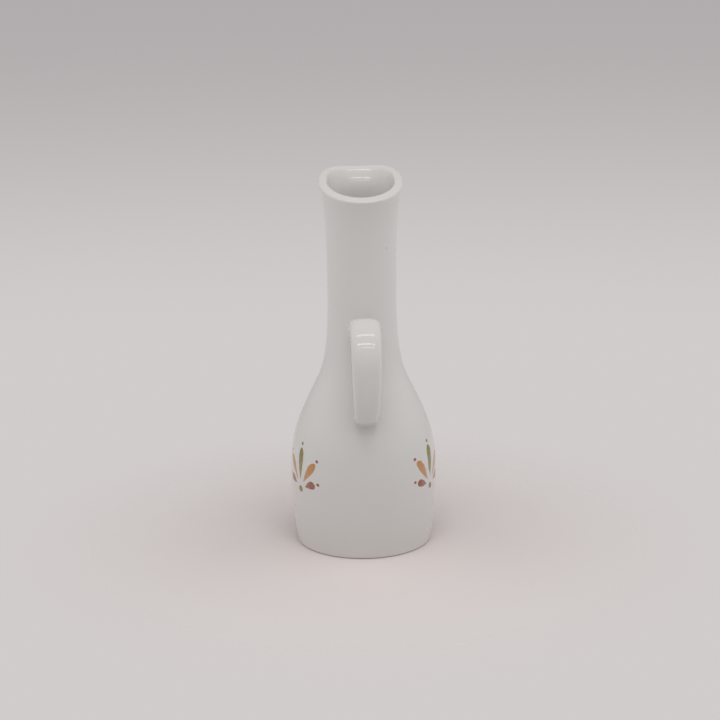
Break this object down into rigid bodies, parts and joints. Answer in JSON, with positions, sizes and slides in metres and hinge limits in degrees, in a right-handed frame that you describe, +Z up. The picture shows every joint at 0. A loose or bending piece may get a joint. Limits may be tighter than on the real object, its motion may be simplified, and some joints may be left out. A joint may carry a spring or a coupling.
{
  "type": "oil jug",
  "caption": "White glazed porcelain oil jug with a round belly on a flat foot, a tall slim neck, a slanted mouth with a pouring lip, and a strap handle from neck to belly.",
  "frame": {"origin": "on the standing surface, midway between the front of the belly and the back of the handle", "axes": "+Z up along the jug's axis, +Y towards the pouring lip, with the handle on -Y and X across"},
  "size_m": [0.0684, 0.0774, 0.1757],
  "materials": {
    "white_glaze": "clear gloss glaze over warm white porcelain"
  },
  "bodies": {
    "root": {"vessel_body": "white_glaze", "handle": "white_glaze", "upper_slip_joint": "white_glaze", "lower_slip_joint": "white_glaze"}
  },
  "joints": []
}
